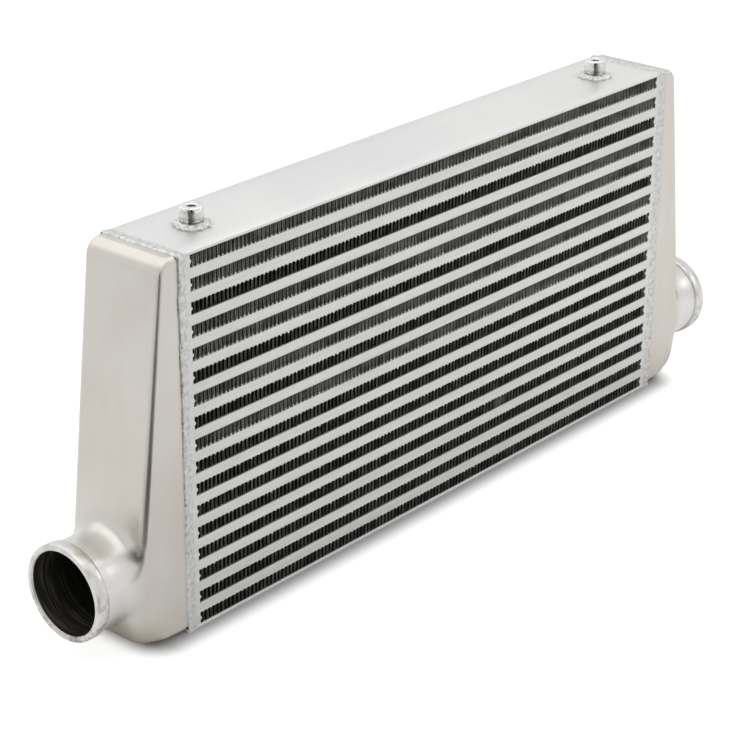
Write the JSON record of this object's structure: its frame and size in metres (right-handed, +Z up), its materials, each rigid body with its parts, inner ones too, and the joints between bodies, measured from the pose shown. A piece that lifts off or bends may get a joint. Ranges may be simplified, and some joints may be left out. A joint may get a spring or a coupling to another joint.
{
  "type": "intercooler",
  "caption": "Bar-and-plate air-to-air intercooler: a finned core between two cast end tanks with round hose ports low at the ends and threaded bosses on the top plate.",
  "frame": {"origin": "on the underside, below the middle of the core", "axes": "+X from the left tank to the right tank along the core, +Y from the front face to the back face, +Z up"},
  "size_m": [0.776, 0.0788, 0.3149],
  "materials": {
    "tank_casting": "fine blasted casting",
    "core_bars": "brazed mill finish, fine grain",
    "end_plates": "brazed sheet, matte",
    "air_fins": "thin folded strip, brazed, in deep shade",
    "turbulators": "thin folded strip, brazed",
    "weld_bead": "rippled weld metal",
    "boss_metal": "turned, bright"
  },
  "bodies": {
    "root": {"air_fin_01": "air_fins", "air_fin_02": "air_fins", "air_fin_03": "air_fins", "air_fin_04": "air_fins", "air_fin_05": "air_fins", "air_fin_06": "air_fins", "air_fin_07": "air_fins", "air_fin_08": "air_fins", "air_fin_09": "air_fins", "air_fin_10": "air_fins", "air_fin_11": "air_fins", "air_fin_12": "air_fins", "air_fin_13": "air_fins", "air_fin_14": "air_fins", "air_fin_15": "air_fins", "air_fin_16": "air_fins", "air_fin_17": "air_fins", "boss_welds": "weld_bead", "bosses": "boss_metal", "bottom_plate": "end_plates", "charge_channel_01": "core_bars", "charge_channel_02": "core_bars", "charge_channel_03": "core_bars", "charge_channel_04": "core_bars", "charge_channel_05": "core_bars", "charge_channel_06": "core_bars", "charge_channel_07": "core_bars", "charge_channel_08": "core_bars", "charge_channel_09": "core_bars", "charge_channel_10": "core_bars", "charge_channel_11": "core_bars", "charge_channel_12": "core_bars", "charge_channel_13": "core_bars", "charge_channel_14": "core_bars", "charge_channel_15": "core_bars", "charge_channel_16": "core_bars", "left_seam_weld": "weld_bead", "left_short_bars": "core_bars", "left_tank": "tank_casting", "right_seam_weld": "weld_bead", "right_short_bars": "core_bars", "right_tank": "tank_casting", "top_plate": "end_plates", "turbulator_01": "turbulators", "turbulator_02": "turbulators", "turbulator_03": "turbulators", "turbulator_04": "turbulators", "turbulator_05": "turbulators", "turbulator_06": "turbulators", "turbulator_07": "turbulators", "turbulator_08": "turbulators", "turbulator_09": "turbulators", "turbulator_10": "turbulators", "turbulator_11": "turbulators", "turbulator_12": "turbulators", "turbulator_13": "turbulators", "turbulator_14": "turbulators", "turbulator_15": "turbulators", "turbulator_16": "turbulators"}
  },
  "joints": []
}
